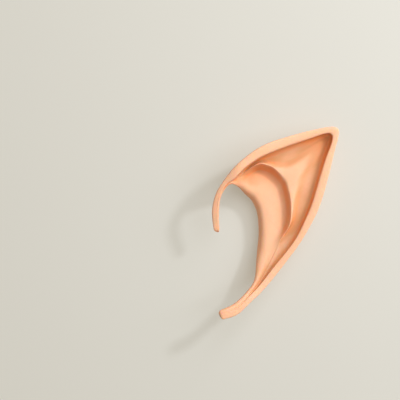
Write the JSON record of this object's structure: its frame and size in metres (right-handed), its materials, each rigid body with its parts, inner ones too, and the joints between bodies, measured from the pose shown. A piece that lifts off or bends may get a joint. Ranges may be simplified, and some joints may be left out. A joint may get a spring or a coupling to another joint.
{
  "type": "elf ear tip",
  "caption": "Pointed elf ear tip for the left ear: a hollow latex shell with a rolled rim and an inner fold, a hook over the front of the ear and a slim tail.",
  "frame": {"origin": "bottom centre of the bounding box, on the surface that the tip lies on", "axes": "+X from the face towards the back of the head, +Y up the ear towards the point, +Z out of the surface, the way the carved face looks"},
  "size_m": [0.0596, 0.0896, 0.023],
  "materials": {
    "latex": "matt, flesh-toned soft cast latex"
  },
  "bodies": {
    "root": {"ear_shell": "latex"}
  },
  "joints": []
}
